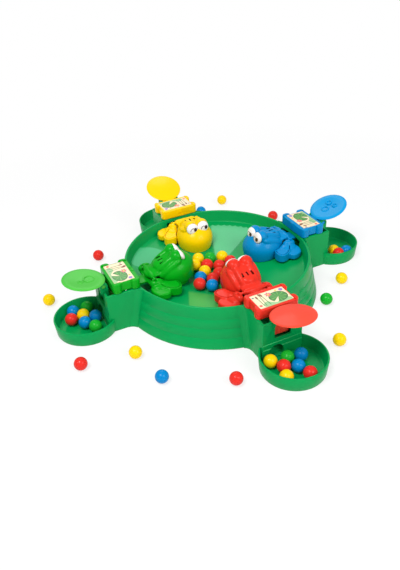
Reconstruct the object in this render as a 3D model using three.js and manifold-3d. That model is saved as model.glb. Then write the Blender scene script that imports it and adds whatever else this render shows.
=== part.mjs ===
// Frog marble grabbing game: a round pond with four frogs on arms, each worked by a lily-leaf lever.
// Millimetres, +Z up, origin on the table under the middle of the pond.
// Each arm is drawn along its own X axis (away from the pond), with Y across it, and then turned.
import * as THREE from 'three'
import { mergeVertices } from 'three/addons/utils/BufferGeometryUtils.js'
import Module from 'manifold-3d'

const wasm = await Module()
wasm.setup()

// Clearances
const clearance = 0.3
const overrun = 2
const pinClearance = 0.3

// Marbles
const marbleDiameter = 13.2
const marbleRadius = marbleDiameter / 2
const marbleDetail = 1
// Places of the pond marbles in marble diameters from the middle of the pond
const pondMarbleShares = [
  ['blue', -2.2, -1.37], ['red', -2.71, -2.25], ['blue', -1.92, -2.91], ['yellow', -1.1, 1.34],
  ['green', -0.15, 0.97], ['yellow', 0.84, 0.69], ['red', 1.1, -0.3], ['yellow', -1.79, 0.56],
  ['red', -0.85, 0.16], ['red', -0.02, -0.45], ['green', 0.46, -1.35], ['yellow', -1.47, -0.66],
  ['red', -1.42, -2.02], ['red', -0.56, -1.46]
]
// Places of the marbles in the dishes, in marble diameters outward and sideways from the dish middle
const dishMarbleShares = {
  red: [['yellow', -0.67, -1.45], ['green', -0.49, -0.16], ['blue', -0.29, 0.85], ['red', 0.2, -0.91],
    ['blue', 0.64, 0.01], ['red', 1.61, 0.33], ['yellow', 1.15, -1.3]],
  green: [['blue', 0.64, -1.61], ['green', -0.51, -1.66], ['red', 1.05, -0.65], ['yellow', 0.04, -0.78],
    ['blue', 0.2, 0.23], ['green', -0.39, 1.06], ['blue', -0.79, -0.18]],
  blue: [['yellow', -0.19, -0.97], ['blue', 0.73, -1.57]],
  yellow: []
}

// Pond tray
const rimRadius = 101
const rimHeight = 44.4
const rimDepth = 5
const skirtFlare = 9.5
const footRadius = rimRadius + skirtFlare
const pondWall = 2.6
const innerWall = 2.2
const floorInset = 6
const floorDrop = 13.4
const floorHollow = 7
const floorEdgeRadius = rimRadius - floorInset
const floorEdgeHeight = rimHeight - floorDrop
const floorMiddleHeight = floorEdgeHeight - floorHollow
const floorWall = 2.2
const pondSegments = 56
const floorRings = 4

// Rear of a frog's jaw, which the channel, the tower and the head follow
const jawRearHalfWidth = 17.2
const cheekWall = 2.2

// Channel in the pond floor that leads marbles from a frog to its doorway
const channelPlay = 1.8
const channelInset = 4
const channelLength = 37
const channelDrop = 3.8
const channelHalfWidth = jawRearHalfWidth + channelPlay
const channelEndRadius = rimRadius - channelInset
const channelStartRadius = channelEndRadius - channelLength
const channelEndHeight = floorMiddleHeight - channelDrop

// Dish at the end of an arm
const dishRimRadius = 32.9
const dishTaper = 1.2
const dishFootRadius = dishRimRadius - dishTaper
const dishHeight = 16
const dishWall = 1.8
const dishFloor = 2
const dishSegments = 36

// Tower of an arm
const towerMargin = 3
const towerLength = 34
const towerHalfWidth = channelHalfWidth + towerMargin
const towerWall = 2.2
const towerEndRadius = rimRadius + towerLength
const towerRearWall = 3
const towerStep = 1
const towerStepHeight = 18
const towerHeight = rimHeight
// Fillet where the tower runs into the pond wall
const filletRadius = 9
const filletSteps = 4
// Middle of the dish behind the tower
const dishSetback = 18.1
const dishCentreRadius = towerEndRadius + dishSetback

// Marble chute in the tower
const chuteStep = 0.6
const chuteStartHeight = channelEndHeight - chuteStep
const chuteEndHeight = dishFloor + chuteStep
const chuteWall = 2
const chuteNeckHalfWidth = channelHalfWidth - clearance
const guideWall = 2
const guideLength = 22
const guideStartRadius = towerEndRadius - guideLength
const guideHeight = 22

// Holes in the tower's rear wall
const windowHalfWidth = 9
const windowSill = 24
const archHalfWidth = 9
const archOffset = -7
const archRise = 7.9
const archShoulder = chuteEndHeight + archRise

// Cover on the tower, which carries the picture
const coverOverhang = 4
const coverSetback = 9.3
const coverMargin = 2.5
const coverHeight = 10.2
const coverStartRadius = rimRadius - coverOverhang
const coverEndRadius = towerEndRadius - coverSetback
const coverHalfWidth = towerHalfWidth - coverMargin
const coverTop = towerHeight + coverHeight
const coverWall = 2
const earMargin = 0.6
const earInset = 1
const earHalfWidth = towerHalfWidth + earMargin
const earLength = 9.4
const earRise = 1
const earInner = coverHalfWidth - earInset
const earCorner = 2.6
const coverBottom = towerHeight + clearance

// Lever with its lily-leaf pad
const pivotSetback = 2.5
const pivotRise = 6.1
const leverPivotRadius = towerEndRadius - pivotSetback
const leverPivotHeight = towerHeight + pivotRise
const padRadius = 21.4
const padThickness = 2.4
const padDish = 1
const padTilt = 22.4
const padOverlap = 7.5
const padEdgeRise = 3.345
const padCentreRadius = leverPivotRadius + padRadius - padOverlap
const padCentreHeight = leverPivotHeight + padEdgeRise + padRadius * Math.sin(radians(padTilt))
const padSegments = 24
const hubRadius = 3.9
const hubPlay = 0.4
const leverInset = 0.6
const hubHalfWidth = windowHalfWidth - hubPlay
const leverHalfWidth = hubHalfWidth - leverInset
const bearingWall = 2.4
const bearingRadius = 4.2
const bearingDrop = 8.4
const bearingBase = towerHeight - bearingDrop
const leverPinRadius = 2
const leverPinInset = 0.2
const leverPinHalfLength = windowHalfWidth + clearance + bearingWall - leverPinInset
const armLean = 6
const armEndRise = 4
const armEndRadius = leverPivotRadius - armLean
const armEndHeight = windowSill + armEndRise
const armWall = 2.4
const armRibDepth = 3
const armRibWall = 1.6

// Head's dome, over the jaw
const frogInset = 45.5
const jawCentreRadius = rimRadius - frogInset
const domeRadius = 21.5
const domeRise = 16.5
const headWall = 1.8
const domeSegments = 16
const domeRings = 5

// Lower jaw, which slides with the legs and the neck
const jawPlay = 0.8
const jawFloorGap = 0.3307
const jawRadius = domeRadius - headWall - jawPlay
const jawBottom = floorHeight(Math.hypot(channelStartRadius, jawRadius)) + jawFloorGap
const jawFloor = 1.8
const jawLip = 3
const jawSide = 6.4
const jawSideReach = 10.5
const jawSideBack = 2.5
const jawFloorBack = 14.5
const jawSideStart = jawCentreRadius - jawSideReach
const jawSideEnd = jawCentreRadius + jawSideBack
const jawFloorEnd = jawCentreRadius + jawFloorBack
const jawWall = 1.8
const headPivotSetback = 7
const headPivotRadius = jawCentreRadius + domeRadius + headPivotSetback
const jawRearInset = 4
const jawRearRadius = headPivotRadius - jawRearInset
const railWall = 2.6
const railHeight = 3.4
const cheekLength = 10
const cheekRadius = 5
const neckRise = 10
const neckBottom = jawBottom + neckRise
const neckWall = 1.8
const neckHalfWidth = 13
const neckGap = 0.4067
const neckEndRadius = armRadius(neckBottom) - armWall - neckGap

// Doorway over the channel
const doorHeadroom = 0.8
const doorSillDrop = 13.2
const doorOverrun = 4.5
const doorTop = neckBottom + neckWall + doorHeadroom
const doorSill = channelEndHeight - doorSillDrop
const doorReach = footRadius + doorOverrun

// Legs
const thighInset = 8
const thighOffset = 7.8
const thighRise = 4
const footLift = 1
const footBottom = floorEdgeHeight + footLift
const thighRadius = headPivotRadius - thighInset
const thighSide = jawRearHalfWidth + thighOffset
const thighHeight = footBottom + thighRise
const thighLength = 19
const thighWidth = 13
const thighDepth = 11
const hipHeight = 3.5
const footHeight = 5
// Outline of the foot as shares of the thigh's place along and across the arm
const footShares = [[1.03, 1.2], [1.09, 1.04], [1.16, 1.06], [1.165, 1.24], [1.12, 1.56], [1.05, 1.64],
  [1.01, 1.44]]

// Head
const headHubRadius = 4.6
const headHubGap = 1.2
const headHubPlay = 0.4
const headPinRadius = 2
const headPivotHeight = neckBottom + neckWall + headHubGap + headHubRadius
const headHubHalfWidth = jawRearHalfWidth - cheekWall - headHubPlay
const domeLift = 11.6
const domeMiddleHeight = jawBottom + domeLift
const domeTop = domeMiddleHeight + domeRise
const napeBack = 17.5
const napeLift = 2.5
const napePlay = 0.7
const napeRadius = jawCentreRadius + napeBack
const napeHeight = domeMiddleHeight + napeLift
const napeLength = 30
const napeWidth = 2 * (jawRearHalfWidth - cheekWall - napePlay)
const napeDepth = 19
const lipDrop = 0.4
const lipRise = 2.2
const lipGap = 1
const lipFrontHeight = jawBottom - lipDrop
const lipMiddleRadius = jawSideEnd
const lipMiddleHeight = jawBottom + lipRise
const lipRearRadius = jawRearRadius
const lipRearHeight = neckBottom + neckWall + lipGap
const gulletInset = 2.1
const gulletHalfWidth = headHubHalfWidth - gulletInset
const browReach = 10
const browSink = 1.3
const browRadius = jawCentreRadius - browReach
const browSide = 8.6
const browHeight = domeTop - browSink
const browLength = 14
const browWidth = 14.4
const browDepth = 14.4
const ridgeBack = 1.5
const ridgeSink = 4.1
const ridgeRadius = jawCentreRadius + ridgeBack
const ridgeSide = 8
const ridgeHeight = domeTop - ridgeSink
const ridgeLength = 28
const ridgeWidth = 7.4
const ridgeDepth = 8.4
const ridgeTilt = 12
const crownBack = 14.5
const crownSink = 5.5
const crownRadius = jawCentreRadius + crownBack
const crownHeight = domeTop - crownSink
const crownLength = 9
const crownWidth = 9
const crownDepth = 4

// Eyes, one moulding with a bar inside the head
const eyeReach = 13.9
const eyeLift = 0.1
const eyeRadius = jawCentreRadius - eyeReach
const eyeSide = 8
const eyeHeight = domeTop + eyeLift
const eyeThickness = 6.4
const eyeWidth = 11.4
const eyeTall = 13
const eyeTilt = 18
const eyeBarSize = 2.6
const eyeBarReach = 12.1
const eyeBarSink = 7.3
const eyeBarRadius = jawCentreRadius - eyeBarReach
const eyeBarHeight = domeTop - eyeBarSink

// Motion: one press of the lever slides the frog forward and lifts its head
const slidePerRadian = 15
const headRaiseShare = 0.8
const arms = [
  { name: 'blue', turn: 0, pressed: 0, colour: 0x0091d7 },
  { name: 'yellow', turn: 90, pressed: 0, colour: 0xffd800 },
  { name: 'green', turn: 180, pressed: 15, colour: 0x12a82c },
  { name: 'red', turn: 270, pressed: 12.7, colour: 0xee3a28 }
]
const baseColour = 0x04a054
const eyeColour = 0xf6f3ee
const marbleColours = { blue: 0x0088c8, red: 0xe8281e, yellow: 0xffc400, green: 0x16a030 }

// Turns degrees into radians
function radians(degrees) {
  return THREE.MathUtils.degToRad(degrees)
}

// Height of the dished pond floor at a distance from the middle
function floorHeight(distance) {
  const share = distance / floorEdgeRadius
  return floorMiddleHeight + (floorEdgeHeight - floorMiddleHeight) * share * share
}

// Outer radius of the pond wall at a height
function skirtRadius(height) {
  return footRadius + (rimRadius - footRadius) * (height / rimHeight)
}

// Place of the lever's arm along the main arm at a height, with the mouth shut
function armRadius(height) {
  return leverPivotRadius - armLean * (leverPivotHeight - height) / (leverPivotHeight - armEndHeight)
}

// Height of the chute's upper side at a distance along the arm
function chuteHeight(distance) {
  const share = (distance - channelEndRadius) / (towerEndRadius - towerRearWall - channelEndRadius)
  return chuteStartHeight + (chuteEndHeight - chuteStartHeight) * share
}

// Makes a solid from a closed geometry, with its faces turned outward
function solid(geometry) {
  const bare = geometry.clone()
  bare.deleteAttribute('normal')
  bare.deleteAttribute('uv')
  const merged = mergeVertices(bare)
  const places = merged.attributes.position.array
  const corners = []
  let volume = 0
  for (let i = 0; i < merged.index.count; i += 3) {
    const [a, b, c] = [0, 1, 2].map(k => merged.index.getX(i + k))
    if (a === b || b === c || c === a) continue
    corners.push(a, b, c)
    const [p, q, r] = [a, b, c].map(k => new THREE.Vector3().fromArray(places, 3 * k))
    volume += p.dot(q.cross(r))
  }
  if (volume < 0) corners.reverse()
  return new wasm.Manifold(new wasm.Mesh({
    numProp: 3, vertProperties: new Float32Array(places), triVerts: new Uint32Array(corners)
  }))
}

// Box between two corners
function block(x0, x1, y0, y1, z0, z1) {
  const box = new THREE.BoxGeometry(x1 - x0, y1 - y0, z1 - z0)
  return solid(box.translate((x0 + x1) / 2, (y0 + y1) / 2, (z0 + z1) / 2))
}

// Upright prism over an outline of [x, y] points
function plate(points, z0, z1) {
  const shape = new THREE.Shape(points.map(([x, y]) => new THREE.Vector2(x, y)))
  const body = new THREE.ExtrudeGeometry(shape, { depth: z1 - z0, bevelEnabled: false })
  return solid(body.translate(0, 0, z0))
}

// Prism across the arm from y0 to y1, over a side view of [x, z] points
function profile(points, y0, y1) {
  const shape = new THREE.Shape(points.map(([x, z]) => new THREE.Vector2(x, z)))
  const body = new THREE.ExtrudeGeometry(shape, { depth: y1 - y0, bevelEnabled: false })
  return solid(body.rotateX(Math.PI / 2).translate(0, y1, 0))
}

// Turned body about the upright axis at x, over [radius, z] points
function turned(points, segments, x) {
  const outline = points.map(([r, z]) => new THREE.Vector2(r, z))
  return solid(new THREE.LatheGeometry(outline, segments).rotateX(Math.PI / 2).translate(x, 0, 0))
}

// Rounded body of a given length, width and depth
function egg(length, width, depth, x, y, z, across, down, tilt = 0) {
  const ball = new THREE.SphereGeometry(1, across, down).scale(length / 2, width / 2, depth / 2)
  return solid(ball.rotateY(radians(tilt)).translate(x, y, z))
}

// Round pin across the arm
function pin(radius, y0, y1, x, z, sides) {
  const rod = new THREE.CylinderGeometry(radius, radius, y1 - y0, sides)
  return solid(rod.translate(x, (y0 + y1) / 2, z))
}

// Outline of a rectangle with rounded corners
function roundedRectangle(x0, x1, y0, y1, corner) {
  const shape = new THREE.Shape()
  shape.absarc(x1 - corner, y1 - corner, corner, 0, Math.PI / 2)
  shape.absarc(x0 + corner, y1 - corner, corner, Math.PI / 2, Math.PI)
  shape.absarc(x0 + corner, y0 + corner, corner, Math.PI, 3 * Math.PI / 2)
  shape.absarc(x1 - corner, y0 + corner, corner, 3 * Math.PI / 2, 2 * Math.PI)
  return shape.getPoints(3).map(p => [p.x, p.y]).filter((p, i, all) => {
    const next = all[(i + 1) % all.length]
    return Math.hypot(p[0] - next[0], p[1] - next[1]) > clearance / 100
  })
}

// Joins a list of solids
function joined(...bodies) {
  return bodies.reduce((whole, body) => whole.add(body))
}

// Named mesh of a solid
function meshOf(name, body, colour, roughness) {
  const data = body.getMesh()
  const geometry = new THREE.BufferGeometry()
  geometry.setAttribute('position', new THREE.BufferAttribute(data.vertProperties, 3))
  geometry.setIndex(new THREE.BufferAttribute(data.triVerts, 1))
  geometry.computeVertexNormals()
  const material = new THREE.MeshStandardMaterial({ color: colour, roughness, metalness: 0 })
  const mesh = new THREE.Mesh(geometry, material)
  mesh.name = name
  return mesh
}

// Space taken up by the outside of the pond, grown by a clearance
function pondEnvelope(gap) {
  return turned([
    [0, rimHeight + overrun], [skirtRadius(rimHeight + overrun) + gap, rimHeight + overrun],
    [skirtRadius(-overrun) + gap, -overrun], [0, -overrun]
  ], pondSegments, 0)
}

// Pond tray: dished floor, rim and flared skirt, with a channel and a doorway for each arm
function pondTray() {
  const rimBottom = rimHeight - rimDepth
  const inside = rimRadius - pondWall
  const top = []
  const under = []
  for (let i = 0; i <= floorRings; i++) {
    const distance = floorEdgeRadius * i / floorRings
    top.push([distance, floorHeight(distance)])
    under.unshift([distance, floorHeight(distance) - floorWall])
  }
  let tray = turned([
    ...top, [inside, rimHeight - clearance], [inside + pondWall / 3, rimHeight],
    [rimRadius - pondWall / 3, rimHeight], [rimRadius, rimHeight - clearance],
    [footRadius, 0], [footRadius - pondWall, 0], [skirtRadius(rimBottom) - pondWall, rimBottom],
    [floorEdgeRadius + innerWall, floorEdgeHeight - floorWall / 2], ...under
  ], pondSegments, 0)
  const trough = profile([
    [channelStartRadius - innerWall, floorHeight(channelStartRadius) - floorWall],
    [channelEndRadius, channelEndHeight - floorWall],
    [channelEndRadius, floorEdgeHeight - floorWall / 2],
    [channelStartRadius - innerWall, floorHeight(channelStartRadius) - floorWall / 2]
  ], -channelHalfWidth - innerWall, channelHalfWidth + innerWall)
  const gap = profile([
    [channelStartRadius, floorHeight(channelStartRadius)],
    [channelEndRadius, channelEndHeight],
    [channelEndRadius, channelEndHeight - floorWall - chuteWall],
    [doorReach, doorSill], [doorReach, doorTop], [channelStartRadius, doorTop]
  ], -channelHalfWidth, channelHalfWidth)
  for (const arm of arms) tray = tray.add(trough.rotate([0, 0, arm.turn]))
  for (const arm of arms) tray = tray.subtract(gap.rotate([0, 0, arm.turn]))
  return tray
}

// Fillet between one side of the tower and the sloping pond wall
function fillet(side) {
  const middle = new THREE.Vector2(0, towerHalfWidth + filletRadius)
  middle.x = Math.sqrt((footRadius + filletRadius) ** 2 - middle.y ** 2)
  const end = Math.PI + middle.angle()
  const start = 3 * Math.PI / 2
  const curve = []
  for (let i = 0; i <= filletSteps; i++) {
    const turn = start + (end - start) * i / filletSteps
    curve.push([middle.x + filletRadius * Math.cos(turn), side * (middle.y + filletRadius * Math.sin(turn))])
  }
  const root = footRadius - filletRadius
  const inside = side * (towerHalfWidth - towerWall)
  const points = [...curve, [root, curve[filletSteps][1]], [root, inside], [curve[0][0], inside]]
  const lean = (rimRadius - footRadius) / rimHeight
  const shape = new THREE.Shape(points.map(([x, y]) => new THREE.Vector2(x, y)))
  const body = new THREE.ExtrudeGeometry(shape, { depth: towerHeight, bevelEnabled: false })
  return solid(body.applyMatrix4(new THREE.Matrix4().makeShear(0, 0, 0, 0, lean, 0)))
}

// Tower: filleted walls, marble chute, guide, window, arch and the lever's bearings
function tower() {
  const start = rimRadius - filletRadius
  const inner = towerEndRadius - towerRearWall
  const innerHalfWidth = towerHalfWidth - towerWall
  let body = block(start, towerEndRadius, -towerHalfWidth, towerHalfWidth, 0, towerHeight)
  body = joined(body, fillet(-1), fillet(1))
  body = body.subtract(block(start - filletRadius - overrun, inner, -innerHalfWidth, innerHalfWidth,
    -overrun, towerHeight + overrun))
  body = body.subtract(block(towerEndRadius - towerStep, towerEndRadius + overrun,
    -towerHalfWidth - overrun, towerHalfWidth + overrun, towerStepHeight, towerHeight + overrun))
  body = body.subtract(pondEnvelope(clearance))

  const chuteStart = channelEndRadius + clearance
  const chuteSide = (from, to) => [
    [from, chuteHeight(from)], [to, chuteHeight(to)],
    [to, chuteHeight(to) - chuteWall], [from, chuteHeight(from) - chuteWall]
  ]
  const wide = towerHalfWidth - towerWall / 2
  body = body.add(profile(chuteSide(chuteStart, inner + clearance), -chuteNeckHalfWidth, chuteNeckHalfWidth))
  body = body.add(profile(chuteSide(footRadius + clearance, inner + clearance), -wide, wide))
  const guideEnd = archOffset + archHalfWidth + guideWall / 2
  body = body.add(plate([
    [guideStartRadius, wide], [inner + clearance, guideEnd],
    [inner + clearance, guideEnd + guideWall], [guideStartRadius + guideWall, wide]
  ], chuteEndHeight, guideHeight))

  const through = [inner - overrun, towerEndRadius + overrun]
  body = body.subtract(block(...through, -windowHalfWidth, windowHalfWidth,
    windowSill, towerHeight + overrun))
  body = body.subtract(block(...through, archOffset - archHalfWidth, archOffset + archHalfWidth,
    chuteEndHeight, archShoulder))
  const arch = new THREE.CylinderGeometry(archHalfWidth, archHalfWidth, through[1] - through[0], 14)
  body = body.subtract(solid(arch.rotateZ(Math.PI / 2)
    .translate((through[0] + through[1]) / 2, archOffset, archShoulder)))

  const bearingStart = windowHalfWidth + clearance
  for (const side of [-1, 1]) {
    const ends = [side * bearingStart, side * (bearingStart + bearingWall)].sort((a, b) => a - b)
    const ear = profile([
      [leverPivotRadius - bearingRadius, bearingBase], [towerEndRadius - towerStep, bearingBase],
      [leverPivotRadius + bearingRadius, towerHeight], [leverPivotRadius + bearingRadius, leverPivotHeight],
      [leverPivotRadius - bearingRadius, leverPivotHeight]
    ], ...ends)
    const crown = pin(bearingRadius, ...ends, leverPivotRadius, leverPivotHeight, 14)
    body = joined(body, ear, crown)
  }
  const bore = leverPinRadius + pinClearance
  return body.subtract(pin(bore, -towerHalfWidth, towerHalfWidth, leverPivotRadius, leverPivotHeight, 10))
}

// Dish that catches the marbles, open where the tower stands in it
function dish() {
  const bowl = turned([
    [0, dishFloor], [dishFootRadius - dishWall, dishFloor], [dishRimRadius - dishWall, dishHeight],
    [dishRimRadius, dishHeight], [dishFootRadius, 0], [0, 0]
  ], dishSegments, dishCentreRadius)
  return bowl.subtract(block(dishCentreRadius - 2 * dishRimRadius, towerEndRadius + clearance,
    -towerHalfWidth - clearance, towerHalfWidth + clearance, -overrun, dishHeight + overrun))
}

// Cover: a cap with four raised corner ears
function cover() {
  const bars = [coverStartRadius, coverEndRadius - earLength].map(start =>
    plate(roundedRectangle(start, start + earLength, -earHalfWidth, earHalfWidth, earCorner),
      coverBottom, coverTop + earRise))
  const body = block(coverStartRadius + clearance, coverEndRadius - clearance,
    -coverHalfWidth, coverHalfWidth, coverBottom, coverTop)
  const seat = block(coverStartRadius - overrun, coverEndRadius + overrun,
    -earInner, earInner, coverTop, coverTop + earRise + overrun)
  const hollow = block(coverStartRadius + coverWall, coverEndRadius - coverWall,
    -coverHalfWidth + coverWall, coverHalfWidth - coverWall, coverBottom - overrun, coverTop - coverWall)
  return joined(body, ...bars).subtract(seat).subtract(hollow)
}

// Lever at rest with the frog's mouth shut: leaf pad, hub, stub pins and ribbed arm
function lever() {
  const half = padThickness / 2
  const edge = padRadius - padThickness
  const leaf = new THREE.LatheGeometry([
    [0, half - padDish], [edge * 2 / 3, half - padDish / 3], [edge, half], [padRadius, 0],
    [edge, -half], [0, -half - padDish]
  ].map(([r, z]) => new THREE.Vector2(r, z)), padSegments)
  const pad = solid(leaf.rotateX(Math.PI / 2).rotateY(radians(-padTilt))
    .translate(padCentreRadius, 0, padCentreHeight))
  const along = new THREE.Vector2(Math.cos(radians(padTilt)), Math.sin(radians(padTilt)))
  const onPad = distance => [padCentreRadius + along.x * distance, padCentreHeight + along.y * distance]
  const web = profile([
    [leverPivotRadius - hubRadius / 2, leverPivotHeight], [leverPivotRadius + hubRadius, leverPivotHeight],
    onPad(-padRadius / 4), onPad(-padRadius * 3 / 4)
  ], -leverHalfWidth, leverHalfWidth)
  const hub = pin(hubRadius, -hubHalfWidth, hubHalfWidth, leverPivotRadius, leverPivotHeight, 12)
  const stubs = pin(leverPinRadius, -leverPinHalfLength, leverPinHalfLength,
    leverPivotRadius, leverPivotHeight, 8)
  const arm = profile([
    [leverPivotRadius - armWall / 2, leverPivotHeight], [leverPivotRadius + armWall / 2, leverPivotHeight],
    [armEndRadius + armWall / 2, armEndHeight], [armEndRadius - armWall / 2, armEndHeight]
  ], -leverHalfWidth, leverHalfWidth)
  const ribs = [-1, 0, 1].map(side => {
    const middle = side * (leverHalfWidth - armRibWall / 2)
    return profile([
      [leverPivotRadius, leverPivotHeight], [leverPivotRadius + armRibDepth, leverPivotHeight],
      [armEndRadius + armRibDepth, armEndHeight], [armEndRadius, armEndHeight]
    ], middle - armRibWall / 2, middle + armRibWall / 2)
  })
  return joined(pad, web, hub, stubs, arm, ...ribs)
}

// Outline of the lower jaw, narrowed by an inset
function jawOutline(inset) {
  const points = []
  const steps = 10
  for (let i = 0; i <= steps; i++) {
    const turn = Math.PI / 2 + Math.PI * i / steps
    const reach = jawRadius - inset
    points.push([jawCentreRadius + reach * Math.cos(turn), reach * Math.sin(turn)])
  }
  return [...points, [jawRearRadius + cheekWall - inset, -jawRearHalfWidth + inset],
    [jawRearRadius + cheekWall - inset, jawRearHalfWidth - inset]]
}

// Lower jaw with its lip, rails, cheeks, neck and the two folded legs
function jaw() {
  const far = footRadius
  const inner = jawRearHalfWidth - railWall
  let body = plate(jawOutline(0), jawBottom, jawBottom + jawSide)
  body = body.subtract(plate(jawOutline(jawWall), jawBottom + jawFloor, jawBottom + jawSide + overrun))
  const lipTop = jawBottom + jawLip
  const sideTop = jawBottom + jawSide + overrun
  body = body.subtract(block(0, jawSideStart, -far, far, lipTop, sideTop))
  body = body.subtract(block(jawSideEnd, far, -far, far, lipTop, sideTop))
  body = body.subtract(block(jawFloorEnd, far, -inner, inner, jawBottom - overrun, sideTop))
  for (const side of [-1, 1]) {
    const across = (a, b) => [side * a, side * b].sort((p, q) => p - q)
    const rail = block(jawSideEnd, headPivotRadius, ...across(inner, jawRearHalfWidth - clearance),
      jawBottom, jawBottom + railHeight)
    const cheekEnds = across(jawRearHalfWidth - cheekWall, jawRearHalfWidth)
    const cheek = block(headPivotRadius - cheekLength / 2, headPivotRadius + cheekLength / 2,
      ...cheekEnds, jawBottom, headPivotHeight)
    const cheekTop = pin(cheekRadius, ...cheekEnds, headPivotRadius, headPivotHeight, 12)
    const hip = block(thighRadius - thighLength / 4, thighRadius + thighLength / 2,
      ...across(jawRearHalfWidth - cheekWall / 2, thighSide), thighHeight - hipHeight, thighHeight)
    const thigh = egg(thighLength, thighWidth, thighDepth, thighRadius, side * thighSide, thighHeight, 8, 6)
    const points = footShares.map(([x, y]) => [thighRadius * x, side * thighSide * y])
    const foot = plate(side > 0 ? points : points.reverse(), footBottom, footBottom + footHeight)
    const shin = block(headPivotRadius - cheekLength / 2, headPivotRadius + cheekRadius / 2,
      ...across(thighSide, thighSide * 1.25), footBottom + hipHeight / 2, thighHeight)
    body = joined(body, rail, cheek, cheekTop, hip, thigh, foot, shin)
  }
  const bridge = block(headPivotRadius, headPivotRadius + cheekLength / 2,
    -jawRearHalfWidth + cheekWall / 2, jawRearHalfWidth - cheekWall / 2, neckBottom, neckBottom + neckWall)
  const neck = block(headPivotRadius, neckEndRadius, -neckHalfWidth, neckHalfWidth,
    neckBottom, neckBottom + neckWall)
  body = joined(body, bridge, neck)
  const bore = headPinRadius + pinClearance
  return body.subtract(pin(bore, -thighSide, thighSide, headPivotRadius, headPivotHeight, 10))
}

// Side view of a dome from its crown to a height below its middle, as [radius, z] points
function domeProfile(wall, bottom) {
  const points = []
  for (let i = 0; i <= domeRings; i++) {
    const turn = Math.PI / 2 * i / domeRings
    points.push([(domeRadius - wall) * Math.sin(turn), domeMiddleHeight + (domeRise - wall) * Math.cos(turn)])
  }
  return [...points, [domeRadius - wall, bottom], [0, bottom]]
}

// Eyes and the bar that joins them, grown by a gap
function eyePair(gap) {
  const eyes = [-1, 1].map(side => egg(eyeThickness + 2 * gap, eyeWidth + 2 * gap, eyeTall + 2 * gap,
    eyeRadius, side * eyeSide, eyeHeight, 8, 6, eyeTilt))
  const half = eyeBarSize / 2 + gap
  const bar = block(eyeBarRadius - half, eyeBarRadius + half, -eyeSide - half, eyeSide + half,
    eyeBarHeight - half, eyeBarHeight + half)
  const stems = [-1, 1].map(side => block(eyeBarRadius - half, eyeBarRadius + half,
    side * eyeSide - half, side * eyeSide + half, eyeBarHeight, eyeHeight - eyeTall / 4 + gap))
  return joined(...eyes, bar, ...stems)
}

// Head with the mouth shut: hollow dome, nape, brows, ridges, crown bump and stub pins
function head() {
  const dome = turned(domeProfile(0, jawBottom - overrun), domeSegments, jawCentreRadius)
  const hollow = turned(domeProfile(headWall, jawBottom - 2 * overrun), domeSegments, jawCentreRadius)
  const nape = egg(napeLength, napeWidth, napeDepth, napeRadius, 0, napeHeight, 12, 6)
  const crown = egg(crownLength, crownWidth, crownDepth, crownRadius, 0, crownHeight, 8, 4)
  const brows = [-1, 1].map(side =>
    egg(browLength, browWidth, browDepth, browRadius, side * browSide, browHeight, 9, 6))
  const ridges = [-1, 1].map(side => egg(ridgeLength, ridgeWidth, ridgeDepth,
    ridgeRadius, side * ridgeSide, ridgeHeight, 8, 5, ridgeTilt))
  let body = joined(dome, nape, crown, ...brows, ...ridges).subtract(hollow)
  const wide = domeRadius + overrun
  body = body.subtract(profile([
    [0, 0], [footRadius, 0], [footRadius, lipRearHeight], [lipRearRadius, lipRearHeight],
    [lipMiddleRadius, lipMiddleHeight], [0, lipFrontHeight - (lipMiddleHeight - lipFrontHeight)]
  ], -wide, wide))
  body = body.subtract(block(lipMiddleRadius, footRadius, -gulletHalfWidth, gulletHalfWidth,
    0, lipRearHeight))
  const hub = pin(headHubRadius, -headHubHalfWidth, headHubHalfWidth, headPivotRadius, headPivotHeight, 12)
  const cutBack = block(headPivotRadius, footRadius, -wide, wide, 0, rimHeight + domeRise)
  const stubs = pin(headPinRadius, -jawRearHalfWidth, jawRearHalfWidth, headPivotRadius, headPivotHeight, 8)
  body = joined(body.subtract(cutBack), hub, stubs)
  return body.subtract(eyePair(clearance))
}

// Marble standing at a place
function marble(name, colour, x, y, floor) {
  const ball = solid(new THREE.IcosahedronGeometry(marbleRadius, marbleDetail))
  const mesh = meshOf(name, ball, marbleColours[colour], 0.25)
  mesh.position.set(x, y, floor + marbleRadius + clearance)
  return mesh
}

const group = new THREE.Group()
group.add(meshOf('pond_tray', pondTray(), baseColour, 0.3))

const shapes = { tower: tower(), dish: dish(), cover: cover(), jaw: jaw() }
const leverShape = lever().translate([-leverPivotRadius, 0, -leverPivotHeight])
const headShape = head().translate([-headPivotRadius, 0, -headPivotHeight])
const eyeShape = eyePair(0).translate([-headPivotRadius, 0, -headPivotHeight])

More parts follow.
